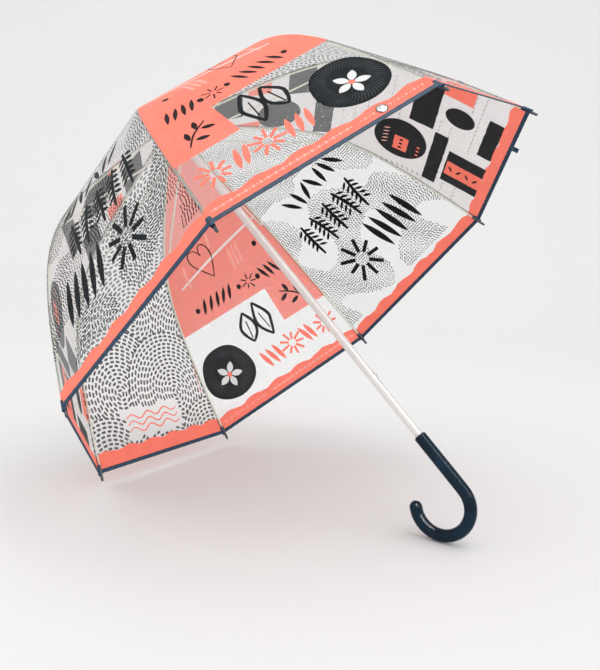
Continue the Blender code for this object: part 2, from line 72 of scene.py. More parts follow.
def make_camera():
    data = bpy.data.cameras.new("camera")
    data.sensor_width, data.sensor_fit = 36.0, "AUTO"
    data.lens = LENS
    data.clip_start, data.clip_end = 0.05, 50
    ob = bpy.data.objects.new("camera", data)
    turn = Matrix((RIGHT, UP, BACK)).transposed().to_4x4()
    ob.matrix_world = Matrix.Translation(CAMERA) @ turn
    bpy.context.scene.collection.objects.link(ob)
    bpy.context.scene.camera = ob


make_camera()

# ---------------------------------------------------------------- dome geometry
HALF = math.pi / 8              # half the angle between two ribs
SIN, COS = math.sin(HALF), math.cos(HALF)
HEM_Z = 0.311
# the film's ridge over a rib, as a cubic Bezier of radius and height above the hem
RIDGE = ((0.0, 0.370), (0.285, 0.272), (0.302, 0.283), (0.420, 0.0))


def ridge_table(steps=2000):
    t = np.linspace(0, 1, steps + 1)[:, None]
    p = [np.array(q) for q in RIDGE]
    line = (1 - t) ** 3 * p[0] + 3 * (1 - t) ** 2 * t * p[1]
    line = line + 3 * (1 - t) * t ** 2 * p[2] + t ** 3 * p[3]
    run = np.concatenate([[0], np.cumsum(np.linalg.norm(np.diff(line, axis=0), axis=1))])
    return line, run


LINE, RUN = ridge_table()
LENGTH = float(RUN[-1])


def ridge(s):
    """Radius, height and their slopes at length s down the ridge of the film."""
    e = 0.0015                  # the slope is taken over this length either way
    lo, hi = max(0.0, min(s, LENGTH) - e), min(LENGTH, s + e)
    r, z = (float(np.interp(s, RUN, LINE[:, i])) for i in (0, 1))
    dr, dz = (
        float(np.interp(hi, RUN, LINE[:, i]) - np.interp(lo, RUN, LINE[:, i])) for i in (0, 1)
    )
    n = math.hypot(dr, dz)
    dr, dz = dr / n, dz / n
    if s > LENGTH:
        r, z = r + dr * (s - LENGTH), z + dz * (s - LENGTH)
    return r, z + HEM_Z, dr, dz


FINE = np.linspace(0, LENGTH + 0.012, 1215)
TABLE = np.array([ridge(s) for s in FINE])


def row(s):
    return [float(np.interp(s, FINE, TABLE[:, k])) for k in range(4)]


class Gore:
    """The film between two ribs: number m, its middle at 45 m degrees."""

    def __init__(self, m):
        a = math.radians(45 * m)
        self.m = m
        self.e = Vector((math.cos(a), math.sin(a), 0))
        self.t = Vector((-math.sin(a), math.cos(a), 0))

    def rib(self, side):
        """Number of the rib on that side, from 1."""
        return (self.m if side > 0 else self.m - 1) % 8 + 1

    def normal(self, s):
        """Outward normal of the film at s, the length down the rib."""
        dr, dz = row(s)[2:]
        return (self.e * -dz + Vector((0, 0, COS * dr))).normalized()

    def point(self, x, s, h=0.0):
        """Point of the film at x across the gore and s down it, h above its face."""
        r, z = row(s)[:2]
        return self.e * (COS * r) + self.t * x + Vector((0, 0, z)) + self.normal(s) * h


def half_width(s):
    """Half the gore's width at s."""
    return row(s)[0] * SIN


START = 0.0078                  # the film starts this far down the rib
BANDS = (START, 0.09, 0.16, 0.22, 0.28, 0.33, 0.38, 0.43, 0.48, 0.53, LENGTH)
LAST = len(BANDS) - 2


def pleat(ob, gore, side, k):
    """Rides the rib beside the half gore."""
    rib = gore.rib(side)
    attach(ob, f"rib_body_{rib}")
    s = (BANDS[k] + BANDS[k + 1]) / 2
    gore.point(side * half_width(s), s)
    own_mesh(ob)


# ---------------------------------------------------------------- materials
def node_material(name, colour, roughness=0.5, metallic=0.0, **sockets):
    mat = bpy.data.materials.new(name)
    mat.use_nodes = True
    shader = mat.node_tree.nodes["Principled BSDF"]
    shader.inputs["Base Color"].default_value = (*colour, 1)
    shader.inputs["Roughness"].default_value = roughness
    shader.inputs["Metallic"].default_value = metallic
    for key, value in sockets.items():
        shader.inputs[key.replace("_", " ")].default_value = value
    return mat, mat.node_tree, shader


def add(tree, kind, **values):
    node = tree.nodes.new(kind)
    for key, value in values.items():
        if hasattr(node, key):
            setattr(node, key, value)
        else:
            node.inputs[key.replace("_", " ")].default_value = value
    return node


def vary(tree, shader, colour, amount, scale, detail=3.0, stretch=(1, 1, 1)):
    """Mottles the base colour by a noise, amount either way."""
    place = add(tree, "ShaderNodeTexCoord")
    turn = add(tree, "ShaderNodeMapping")
    turn.inputs["Scale"].default_value = stretch
    noise = add(tree, "ShaderNodeTexNoise", Scale=scale, Detail=detail)
    ramp = add(tree, "ShaderNodeValToRGB")
    ramp.color_ramp.elements[0].position = 0.32
    ramp.color_ramp.elements[1].position = 0.68
    ramp.color_ramp.elements[0].color = (*[max(0, c * (1 - amount)) for c in colour], 1)
    ramp.color_ramp.elements[1].color = (*[min(1, c * (1 + amount)) for c in colour], 1)
    tree.links.new(place.outputs["Object"], turn.inputs["Vector"])
    tree.links.new(turn.outputs["Vector"], noise.inputs["Vector"])
    tree.links.new(noise.outputs["Fac"], ramp.inputs["Fac"])
    tree.links.new(ramp.outputs["Color"], shader.inputs["Base Color"])
    return turn, noise


def bumpy(tree, shader, source, strength, distance):
    bump = add(tree, "ShaderNodeBump", Strength=strength, Distance=distance)
    tree.links.new(source, bump.inputs["Height"])
    tree.links.new(bump.outputs["Normal"], shader.inputs["Normal"])


def rough_range(tree, shader, noise, low, high):
    span = add(tree, "ShaderNodeMapRange")
    span.inputs["To Min"].default_value = low
    span.inputs["To Max"].default_value = high
    tree.links.new(noise.outputs["Fac"], span.inputs["Value"])
    tree.links.new(span.outputs["Result"], shader.inputs["Roughness"])


def make_plastic(name, colour, roughness, amount=0.05, scale=60, bump=0.06, **sockets):
    mat, tree, shader = node_material(name, colour, roughness, **sockets)
    _, noise = vary(tree, shader, colour, amount, scale)
    fine = add(tree, "ShaderNodeTexNoise", Scale=900.0, Detail=2.0)
    bumpy(tree, shader, fine.outputs["Fac"], bump, 0.0002)
    rough_range(tree, shader, noise, max(0.03, roughness - 0.06), roughness + 0.08)
    return mat


def make_film(name, low, high, colour):
    """Clear film: nearly all see-through, denser where it is seen edge on."""
    mat, tree, shader = node_material(name, colour, 0.09)
    weight = add(tree, "ShaderNodeLayerWeight", Blend=0.35)
    noise = add(tree, "ShaderNodeTexNoise", Scale=7.0, Detail=4.0, Distortion=0.6)
    span = add(tree, "ShaderNodeMapRange")
    span.inputs["To Min"].default_value = low
    span.inputs["To Max"].default_value = high
    haze = add(tree, "ShaderNodeMapRange")
    haze.inputs["From Min"].default_value = 0.35
    haze.inputs["From Max"].default_value = 0.7
    haze.inputs["To Min"].default_value = 0.0
    haze.inputs["To Max"].default_value = 0.035
    total = add(tree, "ShaderNodeMath", operation="ADD")
    tree.links.new(weight.outputs["Facing"], span.inputs["Value"])
    tree.links.new(noise.outputs["Fac"], haze.inputs["Value"])
    tree.links.new(span.outputs["Result"], total.inputs[0])
    tree.links.new(haze.outputs["Result"], total.inputs[1])
    tree.links.new(total.outputs["Value"], shader.inputs["Alpha"])
    wrinkle = add(tree, "ShaderNodeTexNoise", Scale=16.0, Detail=3.0, Distortion=1.2)
    bumpy(tree, shader, wrinkle.outputs["Fac"], 0.25, 0.004)
    return mat


def make_ink(name, colour, alpha, amount=0.05, scale=45, glow=0.0):
    """Thin ink; glow stands in for the light that passes through it from behind."""
    mat, tree, shader = node_material(name, colour, 0.38)
    shader.inputs["Emission Color"].default_value = (*colour, 1)
    shader.inputs["Emission Strength"].default_value = glow
    shader.inputs["Specular IOR Level"].default_value = 0.05
    _, noise = vary(tree, shader, colour, amount, scale)
    solid = add(tree, "ShaderNodeMapRange")
    solid.inputs["To Min"].default_value = max(0.0, alpha - 0.05)
    solid.inputs["To Max"].default_value = min(1.0, alpha + 0.04)
    tree.links.new(noise.outputs["Fac"], solid.inputs["Value"])
    tree.links.new(solid.outputs["Result"], shader.inputs["Alpha"])
    fine = add(tree, "ShaderNodeTexNoise", Scale=300.0, Detail=2.0)
    bumpy(tree, shader, fine.outputs["Fac"], 0.08, 0.0002)
    return mat


def make_tape():
    """Woven tape: two crossed thread waves and a mottled navy."""
    mat, tree, shader = node_material("navy_tape_woven", (0.006, 0.05, 0.12), 0.85)
    shader.inputs["Sheen Weight"].default_value = 0.08
    shader.inputs["Sheen Roughness"].default_value = 0.4
    shader.inputs["Sheen Tint"].default_value = (0.45, 0.65, 0.9, 1)
    vary(tree, shader, (0.003, 0.040, 0.088), 0.45, 160.0, 4.0)
    place = add(tree, "ShaderNodeTexCoord")
    waves = []
    for direction in ("X", "DIAGONAL"):
        wave = add(tree, "ShaderNodeTexWave", Scale=420.0, Distortion=0.4)
        wave.bands_direction = direction
        tree.links.new(place.outputs["Object"], wave.inputs["Vector"])
        waves.append(wave)
    weave = add(tree, "ShaderNodeMath", operation="MULTIPLY")
    tree.links.new(waves[0].outputs["Fac"], weave.inputs[0])
    tree.links.new(waves[1].outputs["Fac"], weave.inputs[1])
    bumpy(tree, shader, weave.outputs["Value"], 0.7, 0.0004)
    return mat


def make_metal(name, colour, roughness, scale, stretch=(1, 1, 1)):
    mat, tree, shader = node_material(name, colour, roughness, 1.0)
    _, noise = vary(tree, shader, colour, 0.12, scale, 3.0, stretch)
    rough_range(tree, shader, noise, roughness - 0.08, roughness + 0.15)
    bumpy(tree, shader, noise.outputs["Fac"], 0.1, 0.0002)
    return mat


def make_handle():
    """Glossy navy moulding: deep colour, a clear coat and a faint ripple."""
    mat, tree, shader = node_material("navy_handle_gloss", (0.002, 0.017, 0.034), 0.10)
    shader.inputs["Specular IOR Level"].default_value = 0.12
    shader.inputs["Coat Weight"].default_value = 0.12
    shader.inputs["Coat Roughness"].default_value = 0.03
    vary(tree, shader, (0.002, 0.017, 0.034), 0.3, 35.0)
    ripple = add(tree, "ShaderNodeTexNoise", Scale=28.0, Detail=2.0)
    bumpy(tree, shader, ripple.outputs["Fac"], 0.05, 0.002)
    return mat


CORAL, BLACK, WHITE, PALE, GREY = range(5)
INKS = [
    make_ink("ink_coral", (0.90, 0.205, 0.145), 0.94, glow=0.24),
    make_ink("ink_black", (0.011, 0.014, 0.017), 0.95, 0.35),
    make_ink("ink_white", (0.76, 0.76, 0.76), 0.84, 0.03, glow=0.30),
    make_ink("ink_pale", (0.95, 0.50, 0.43), 0.80, 0.04, glow=0.2),
    make_ink("ink_grey", (0.10, 0.11, 0.12), 0.80, 0.25),
]
FILM = make_film("clear_film_dome", 0.09, 0.36, (0.74, 0.745, 0.74))
WELD = make_film("clear_film_weld", 0.30, 0.60, (0.78, 0.82, 0.76))
TAPE = make_tape()
THREAD = make_plastic("navy_thread", (0.01, 0.07, 0.16), 0.8, 0.2, 200, 0.3)
FINISH = {
    "painted_shaft": make_plastic("shaft_paint", (0.83, 0.815, 0.79), 0.32, 0.03, 24, 0.05,
                                  Coat_Weight=0.25),
    "navy_handle": make_handle(),
    "white_plastic": make_plastic("moulded_white", (0.83, 0.83, 0.81), 0.42, 0.03, 40, 0.12),
    "rib_fibreglass": make_plastic("fibreglass_cream", (0.80, 0.84, 0.71), 0.38, 0.06, 90, 0.1),
    "navy_plastic": make_plastic("moulded_navy", (0.007, 0.014, 0.028), 0.42, 0.25, 70, 0.2),
    "clear_film": WELD,
    "navy_tape": TAPE,
    "steel_wire": make_metal("bright_wire", (0.68, 0.68, 0.69), 0.28, 300.0),
}


def finish_cad_nodes():
    slots = {p["node"]: p["material_slot"] for p in frame["record"]["subparts"]}
    for name, ob in frame["nodes"].items():
        if not ob.material_slots:
            ob.data.materials.append(None)
        for place in ob.material_slots:
            place.material = FINISH[slots[name]]


finish_cad_nodes()


# ---------------------------------------------------------------- mesh helpers
def publish(name, verts, faces, mats, indices=None, normals=None, smooth=True):
    mesh = bpy.data.meshes.new(name)
    mesh.from_pydata([tuple(v) for v in verts], [], faces)
    for m in mats:
        mesh.materials.append(m)
    mesh.polygons.foreach_set("use_smooth", [smooth] * len(mesh.polygons))
    if indices is not None:
        mesh.polygons.foreach_set("material_index", indices)
    mesh.update()
    if normals is not None:
        mesh.normals_split_custom_set_from_vertices([tuple(n) for n in normals])
    ob = bpy.data.objects.new(name, mesh)
    bpy.context.scene.collection.objects.link(ob)
    return ob


# ---------------------------------------------------------------- print layout
class Print:
    """Shapes on a flat gore, in centimetres: (points, ink, layer)."""

    def __init__(self, seed):
        self.shapes = []
        self.dice = random.Random(seed)

    def area(self, points, ink, layer=0):
        self.shapes.append(([(x / 100, s / 100) for x, s in points], ink, layer))

    def box(self, x1, s1, x2, s2, ink, layer=0, rough=0.0):
        """A box with slightly unsteady, hand-cut edges."""
        points = []
        for (ax, ay), (bx, by) in (((x1, s1), (x2, s1)), ((x2, s1), (x2, s2)),
                                   ((x2, s2), (x1, s2)), ((x1, s2), (x1, s1))):
            steps = max(1, int(math.hypot(bx - ax, by - ay) / 0.8)) if rough else 1
            for k in range(steps):
                f = k / steps
                points.append((ax + (bx - ax) * f + self.dice.uniform(-rough, rough),
                               ay + (by - ay) * f + self.dice.uniform(-rough, rough)))
        self.area(points, ink, layer)

    def oval(self, x, s, a, b, ink, layer=1, start=0, stop=360, turn=0):
        points = []
        steps = max(8, int(abs(stop - start) / 12))
        c, n = math.cos(math.radians(turn)), math.sin(math.radians(turn))
        for k in range(steps + (0 if stop - start == 360 else 1)):
            t = math.radians(start + (stop - start) * k / steps)
            u, v = a * math.cos(t), b * math.sin(t)
            points.append((x + u * c - v * n, s + u * n + v * c))
        self.area(points, ink, layer)

    def stroke(self, points, wide, ink, layer=1, taper=0.35, smooth=True):
        """A brush stroke along points, thinner at both ends."""
        if smooth and len(points) > 2:
            points = self.curve(points)
        runs = [0.0]
        for a, b in zip(points, points[1:]):
            runs.append(runs[-1] + math.hypot(b[0] - a[0], b[1] - a[1]))
        sides = []
        for k, (x, s) in enumerate(points):
            a, b = points[max(0, k - 1)], points[min(len(points) - 1, k + 1)]
            d = math.hypot(b[0] - a[0], b[1] - a[1]) or 1
            f = runs[k] / runs[-1]
            w = wide / 2 * (taper + (1 - taper) * math.sin(math.pi * (0.12 + 0.76 * f)) ** 0.7)
            w *= 1 + self.dice.uniform(-0.08, 0.08)
            nx, ns = -(b[1] - a[1]) / d * w, (b[0] - a[0]) / d * w
            sides.append(((x + nx, s + ns), (x - nx, s - ns)))
        for (a, b), (c, d) in zip(sides, sides[1:]):
            self.area([a, c, d, b], ink, layer)

    @staticmethod
    def curve(points, steps=6):
        """A smooth line through points."""
        out = []
        for k in range(len(points) - 1):
            p = [points[max(0, min(len(points) - 1, k + j))] for j in (-1, 0, 1, 2)]
            for i in range(steps):
                t = i / steps
                out.append(tuple(
                    0.5 * (2 * p[1][c] + (p[2][c] - p[0][c]) * t
                           + (2 * p[0][c] - 5 * p[1][c] + 4 * p[2][c] - p[3][c]) * t * t
                           + (3 * p[1][c] - p[0][c] - 3 * p[2][c] + p[3][c]) * t ** 3)
                    for c in (0, 1)))
        return out + [points[-1]]

    def dash(self, x, s, angle, long, wide, ink=BLACK, layer=0):
        c, n = math.cos(angle) * long / 2, math.sin(angle) * long / 2
        u, v = -math.sin(angle) * wide / 2, math.cos(angle) * wide / 2
        self.area([(x - c, s - n), (x - c * 0.7 + u, s - n * 0.7 + v),
                   (x + c * 0.7 + u, s + n * 0.7 + v), (x + c, s + n),
                   (x + c * 0.7 - u, s + n * 0.7 - v), (x - c * 0.7 - u, s - n * 0.7 - v)],
                  ink, layer)

    def leaf(self, x, s, long, wide, turn, ink=BLACK, layer=1):
        """A filled, pointed leaf; turn is in degrees from straight down the gore."""
        c, n = math.cos(math.radians(turn)), math.sin(math.radians(turn))
        points = []
        for side in (1, -1):
            for k in range(8):
                f = k / 8 if side > 0 else 1 - k / 8
                u, v = side * wide / 2 * math.sin(math.pi * f) ** 0.8, (f - 0.5) * long
                points.append((x + u * c - v * n, s + u * n + v * c))
        self.area(points, ink, layer)

    def burst(self, x, s, inner, outer, count, wide, ink=BLACK, layer=1):
        for k in range(count):
            a = 2 * math.pi * (k + 0.2) / count
            far = outer * self.dice.uniform(0.85, 1.1)
            self.stroke([(x + inner * math.cos(a), s + inner * math.sin(a)),
                         (x + far * math.cos(a), s + far * math.sin(a))], wide, ink, layer)

    def hem_band(self, top):
        """The coral band along the hem, with a hand-cut upper edge."""
        edge = [(-17.5 + 35 * k / 46, top + 0.22 * math.sin(k * 0.9) + self.dice.uniform(-.1, .1))
                for k in range(47)]
        self.area([(17.5, 61), (-17.5, 61)] + edge, CORAL, 1)

    def ticks(self, x1, x2, s, step, size, ink, layer=2):
        """A row of dots in two sizes."""
        x, big = x1, False
        while x < x2:
            wide = size * (0.30 if big else 0.18)
            self.oval(x, s, wide, wide, ink, layer)
            x, big = x + step, not big


def design_a():
    """Coral above in steps, clear below, a heart, loose brush leaves and a dark bloom."""
    p = Print(11)
    p.area([(-16, 0), (16, 0), (16, 40.9), (-4.9, 41.1), (-5.0, 48.2), (-16, 48.4)], CORAL)
    p.hem_band(56.8)
    p.stroke([(-10.6, 27.5), (-4, 29.2), (2, 30.8), (8.7, 33)], 0.5, WHITE, 1, smooth=False)
    for x, top in ((-4.2, 29.8), (-3.3, 30.0), (-2.4, 30.2), (0.2, 24), (6.6, 29)):
        for k in range(5):
            p.stroke([(x + .12 * k, top + k * .3), (x + .1 * k + .2, top + 4.6)], 0.12, PALE, 1)
    p.stroke([(2.2, 34.0), (1.0, 30.2), (1.4, 27.6), (2.6, 27.0), (3.0, 29.0)], 0.22, BLACK)
    p.stroke([(2.7, 29.0), (3.9, 27.4), (5.1, 27.8), (4.9, 30.2), (2.2, 34.0)], 0.22, BLACK)
    p.oval(-7.3, 32.6, 0.45, 0.55, BLACK)
    # a row of brush leaves, dots and a burst
    for x, turn in ((-9.8, 22), (-8.6, 27), (-7.4, 20), (-6.2, 25)):
        p.leaf(x, 38.4, 3.3, 0.62, turn)
    p.oval(-4.9, 38.4, .45, .55, BLACK)
    p.burst(-2.9, 38.3, 0.45, 1.5, 7, 0.34)
    p.oval(-0.8, 38.2, .4, .5, BLACK)
    for x, turn in ((1.2, -22), (2.5, -27), (3.8, -20), (5.2, -25), (6.6, -22)):
        p.leaf(x, 38.0, 3.2, 0.6, turn)
    p.oval(8.1, 38.0, .42, .5, BLACK)
    # a sprig
    p.stroke([(-11.0, 46.6), (-9.4, 44.6), (-7.0, 43.0)], 0.28, BLACK)
    for x, s, turn in ((-10.2, 44.4, 10), (-8.9, 46.0, -70), (-8.4, 43.0, 15), (-7.3, 44.5, -65)):
        p.leaf(x, s, 1.9, 0.75, turn)
    # two big open leaves
    for x, tall, turn in ((-1.6, 3.6, .35), (1.6, 2.9, -.3)):
        for side in (-1, 1):
            p.stroke([(x + turn, 45.6 - tall), (x + side * 1.35, 45.1), (x + side * 1.1, 47.0),
                      (x - turn, 45.6 + tall)], 0.58, BLACK)
        p.stroke([(x + turn * .5, 44.4), (x - turn, 47.8)], 0.3, BLACK)
    # coral bursts and leaves on the clear part
    for x, s in ((-11.4, 52.8), (-4.0, 52.6)):
        p.burst(x, s, 0.7, 2.3, 9, 0.62, CORAL)
    for x, turn in ((-8.2, 18), (-7.0, 22), (-0.9, 16), (0.5, 20), (1.9, 17)):
        p.leaf(x, 52.6, 4.0, 0.85, turn, CORAL)
    # a dark bloom with fine grain and pale petals
    rim = [(9.2 + 4.9 * math.cos(t) * (1 + .05 * math.sin(3 * t)),
            50.6 + 5.2 * math.sin(t) * (1 + .04 * math.cos(2 * t)))
           for t in (2 * math.pi * k / 44 for k in range(44))]
    p.area(rim, BLACK, 1)
    for k in range(56):
        t = math.radians(k * 6.43)
        p.stroke([(9.2 + 2.6 * math.cos(t), 50.4 + 2.8 * math.sin(t)),
                  (9.2 + 3.5 * math.cos(t + .06), 50.4 + 3.7 * math.sin(t + .06)),
                  (9.2 + 4.5 * math.cos(t + .2), 50.5 + 4.7 * math.sin(t + .2))], 0.07, GREY, 2)
    for k in range(5):
        t = math.radians(k * 72 + 20)
        p.leaf(9.3 + 1.35 * math.cos(t), 51.1 + 1.35 * math.sin(t), 2.2, 1.15,
               k * 72 - 70, WHITE, 2)
    p.oval(9.3, 51.1, 0.45, 0.45, CORAL, 3)
    p.ticks(-15, 4.5, 57.9, 0.5, 0.75, PALE)
    p.ticks(5.5, 15, 57.9, 0.6, 0.6, PALE)
    return p


def flow(x, s):
    """Direction of the fine dashes: a slow swirl across the gore."""
    return 0.9 * math.sin(x * 0.31 + s * 0.12) + 0.8 * math.cos(s * 0.23 - x * 0.17)


def patchy(x, s):
    """Above 0 where the fine dashes gather into patches."""
    return (math.sin(x * 0.55 + 1.3 * math.sin(s * 0.21)) + math.cos(s * 0.47 + 0.8 * x * 0.3)
            + 0.8 * math.sin((x - s) * 0.29 + 1.0) + 0.25)


def design_b():
    """Patches of fine dashes on clear film, and large brush leaves."""
    p = Print(23)
    s = 3.0
    while s < 56.6:
        half = half_width(s / 100) * 100
        x = -half + p.dice.uniform(0.1, 0.5)
        while x < half - 0.15:
            patch = patchy(x, s)
            if patch > (-1.2 if s < 29 else -0.25):
                size = 0.40 + 0.12 * math.sin(x * .8 + s * .5)
                p.dash(x, s + p.dice.uniform(-.07, .07), flow(x, s) + p.dice.uniform(-.15, .15),
                       size, 0.17, BLACK)
            x += p.dice.uniform(0.44, 0.58)
        s += 0.44
    p.hem_band(57.2)
    # a fan of leaves, a row of feathers, tall blades and a thick burst
    for x, turn in ((-7.0, 30), (-5.2, 12), (-3.4, -8), (-1.4, 20), (.6, -24), (2.6, 6), (4.6, 26)):
        p.leaf(x, 32.4, 4.2, 0.85, turn)
    for x, lean in ((-5.2, .5), (-2.2, -.4), (1.0, .3), (4.2, -.3), (7.4, .4)):
        p.stroke([(x - lean, 36.4), (x + lean * .4, 39.6), (x + lean, 43.2)], 0.6, BLACK)
        for k in range(5):
            y = 37.4 + k * 1.0
            p.leaf(x + .75, y, 1.7, 0.5, -55)
            p.leaf(x - .75, y + .2, 1.7, 0.5, 55)
    for x, turn in ((-9.2, 9), (-7.4, 12), (-5.5, 8), (-3.6, 11), (-1.8, 9)):
        p.leaf(x, 48.0, 7.4, 1.15, turn)
    p.burst(3.9, 48.9, 1.3, 4.2, 9, 1.05)
    return p


def design_c():
    """Large dark blocks and coral boxes on a white ground."""
    p = Print(37)
    p.area([(-16, 0), (16, 0), (16, 61), (-16, 61)], WHITE)
    p.hem_band(57.0)
    for x1, s1, x2, s2 in ((-11.4, 42.1, -0.9, 46.4), (-9.6, 54.6, -0.4, 57.1),
                           (-0.7, 47.0, 12.6, 49.5), (2.2, 50.2, 10.6, 57.1),
                           (-13, 21, -2, 25.5), (-1.5, 26, 9, 29.2), (-6, 8, 2, 13)):
        p.box(x1, s1, x2, s2, BLACK, 1, 0.05)
    p.oval(5.2, 41.6, 5.0, 4.8, BLACK)
    p.oval(-6.4, 50.1, 2.15, 2.55, BLACK)
    p.oval(3.0, 19.5, 3.6, 3.9, BLACK)
    p.box(-15.5, 46.4, -10.2, 51.4, CORAL, 1, 0.05)
    p.box(4.6, 40.5, 8.3, 43.1, CORAL, 2, 0.04)
    p.box(4.9, 50.5, 8.5, 57.1, CORAL, 2, 0.04)
    p.box(-9, 14, -3, 18, CORAL, 1, 0.05)
    p.box(4, 12, 8, 16, CORAL, 1, 0.05)
    for k in range(4):
        p.leaf(6.7, 51.4 + 1.55 * k, 1.5, 0.45, 60 if k % 2 else -60, BLACK, 3)
    for k in range(3):
        p.oval(5.4 + k * 1.05, 41.8, 0.28, 0.36, BLACK, 3)
        p.oval(5.5 + k * 1.05, 45.0, 0.22, 0.3, CORAL, 2)
    for k in range(5):
        p.leaf(3.6 + .95 * k, 38.9, 1.3, 0.3, 25, PALE, 2)
    for s1, x1, x2 in ((38.5, -10, -1), (40.4, -9, 0), (47.4, -4, 1), (49.3, -3.6, 0.5),
                       (51.6, -13, -9.2), (53.2, -13.6, 0), (51.0, 11.2, 15), (47.2, 12.8, 14.6),
                       (53.4, 11, 15), (31, -8, 8), (33, -9, 9), (35, -6, 0)):
        x = x1
        while x < x2:
            p.stroke([(x, s1), (x + .7, s1 - .1)], 0.12, GREY, 1)
            x += 1.1
    for k in range(9):
        p.stroke([(12.2, 38 + k), (12.9, 38.4 + k)], 0.22, GREY, 1)
    return p


def design_d():
    """Bold dashes in overlapping arcs like fish scales, and three coral waves."""
    p = Print(53)
    scales = [(-14, 61, 9), (-2, 66, 13), (12, 61, 10), (-7, 50, 11), (6, 48, 11), (17, 48, 9),
              (-15, 40, 10), (-1, 36, 10), (11, 35, 10), (-7, 24, 9), (5, 22, 9), (0, 11, 9)]
    for index, (cx, cs, reach) in enumerate(scales):
        ring = 0.5
        while ring < reach:
            count = max(3, int(2 * math.pi * ring / 1.25))
            shift = p.dice.uniform(0, 1)
            for k in range(count):
                t = 2 * math.pi * (k + shift) / count
                x, s = cx + ring * math.cos(t), cs + ring * math.sin(t)
                if s < 3 or s > 56.7 or abs(x) > half_width(s / 100) * 100 + 0.3:
                    continue
                if any(math.hypot(x - a, s - b) < c for a, b, c in scales[:index]):
                    continue
                if 50.9 < s < 55.9 and -6.6 < x < 7.2:
                    continue
                p.dash(x, s, t + math.pi / 2, 0.96, 0.42)
            ring += 0.70
    p.hem_band(56.6)
    for drop in (0.0, 1.1, 2.2):
        wave = [(-5.8 + 12.4 * k / 60, 52.3 + drop + 0.45 * math.sin(k * 0.32))
                for k in range(61)]
        p.stroke(wave, 0.24, CORAL)
    for k in range(7):
        p.stroke([(-14.6 + k * .12, 30 + k * 3), (-14.2 + k * .1, 33.2 + k * 3)], 0.3, PALE)
    return p


DESIGNS = {7: design_a(), 3: design_a(), 0: design_d(), 4: design_d(),
           1: design_c(), 5: design_c(), 2: design_b(), 6: design_b()}


# ---------------------------------------------------------------- film and ink
def cut(points, a, b, c):
    """The part of a polygon where a*x + b*s <= c."""
    out = []
    for k, p in enumerate(points):
        q = points[(k + 1) % len(points)]
        dp, dq = a * p[0] + b * p[1] - c, a * q[0] + b * q[1] - c
        if dp <= 0:
            out.append(p)
        if (dp < 0 < dq) or (dq < 0 < dp):
            f = dp / (dp - dq)
            out.append((p[0] + (q[0] - p[0]) * f, p[1] + (q[1] - p[1]) * f))
    return out


def strips(low, high, step=0.011):
    n = max(1, math.ceil((high - low) / step))
    return [low + (high - low) * k / n for k in range(n + 1)]


def make_film_band(gore, side, k):
    rows = strips(BANDS[k], BANDS[k + 1])
    shares = (0, 0.25, 0.5, 0.75, 1.0)
    verts, normals, faces = [], [], []
    for s in rows:
        for w in shares:
            verts.append(gore.point(side * half_width(s) * w, s))
            normals.append(gore.normal(s))
    n = len(shares)
    for a in range(len(rows) - 1):
        for b in range(n - 1):
            q = (a * n + b, (a + 1) * n + b, (a + 1) * n + b + 1, a * n + b + 1)
            faces.append(q if side > 0 else q[::-1])
    name = f"film_gore{gore.m + 1}_{'left' if side < 0 else 'right'}_{k + 1}"
    ob = publish(name, verts, faces, [FILM], normals=normals)
    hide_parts(f"film_panel_{gore.rib(side)}")
    return ob


INK_LIFT, INK_STEP = 0.00012, 0.00007          # ink above the film, and between layers
INK_MARGIN = 0.0002             # ink stops this short of the rib
SLIVER = 2e-9                   # pieces of ink with less than half this area are dropped
WELD_WIDTH, WELD_DROP = 0.0030, 0.00045        # the weld beside a rib, under the film
WELD_END = LENGTH - 0.004       # it ends inside the hem tape


def make_ink_band(gore, side, k, layout):
    """The print on one band, cut at the rows of the film, and the weld beside the rib."""
    rows = strips(BANDS[k], BANDS[k + 1])
    verts, normals, faces, inks = [], [], [], []
    for points, ink, layer in layout.shapes:
        low, high = min(p[1] for p in points), max(p[1] for p in points)
        if high <= rows[0] or low >= rows[-1]:
            continue
        if max(side * p[0] for p in points) <= 0:
            continue
        one_side = cut(points, -side, 0, 0)
        for a, b in zip(rows, rows[1:]):
            if high <= a or low >= b or len(one_side) < 3:
                continue
            piece = cut(cut(one_side, 0, -1, -a), 0, 1, b)
            if len(piece) < 3:
                continue
            wa, wb = half_width(a) - INK_MARGIN, half_width(b) - INK_MARGIN
            slope = (wb - wa) / (b - a)
            if max(side * x - (wa + slope * (s - a)) for x, s in piece) > 0:
                piece = cut(piece, side, -slope, wa - slope * a)
            if len(piece) < 3:
                continue
            area = sum(p[0] * q[1] - q[0] * p[1] for p, q in zip(piece, piece[1:] + piece[:1]))
            if abs(area) < SLIVER:
                continue
            if area < 0:
                piece = piece[::-1]
            for lift in ((1, -1) if layer else (1,)):
                start = len(verts)
                h = lift * (INK_LIFT + layer * INK_STEP)
                for x, s in piece:
                    verts.append(gore.point(x, s, h))
                    normals.append(gore.normal(s) * lift)
                order = list(range(start, len(verts)))
                faces.append(order[::-1] if lift > 0 else order)
                inks.append(ink)
    if k == LAST:
        rows = [s for s in rows if s < WELD_END] + [WELD_END]
    start = len(verts)
    for s in rows:
        wide = min(WELD_WIDTH, half_width(s) * 0.5)
        for x in (half_width(s), half_width(s) - wide):
            verts.append(gore.point(side * x, s, -WELD_DROP))
            normals.append(gore.normal(s))
    for a in range(start, len(verts) - 2, 2):
        q = (a, a + 1, a + 3, a + 2)
        faces.append(q if side < 0 else q[::-1])
        inks.append(len(INKS))
    name = f"print_gore{gore.m + 1}_{'left' if side < 0 else 'right'}_{k + 1}"
    ob = publish(name, verts, faces, INKS + [WELD], inks, normals)
    return ob


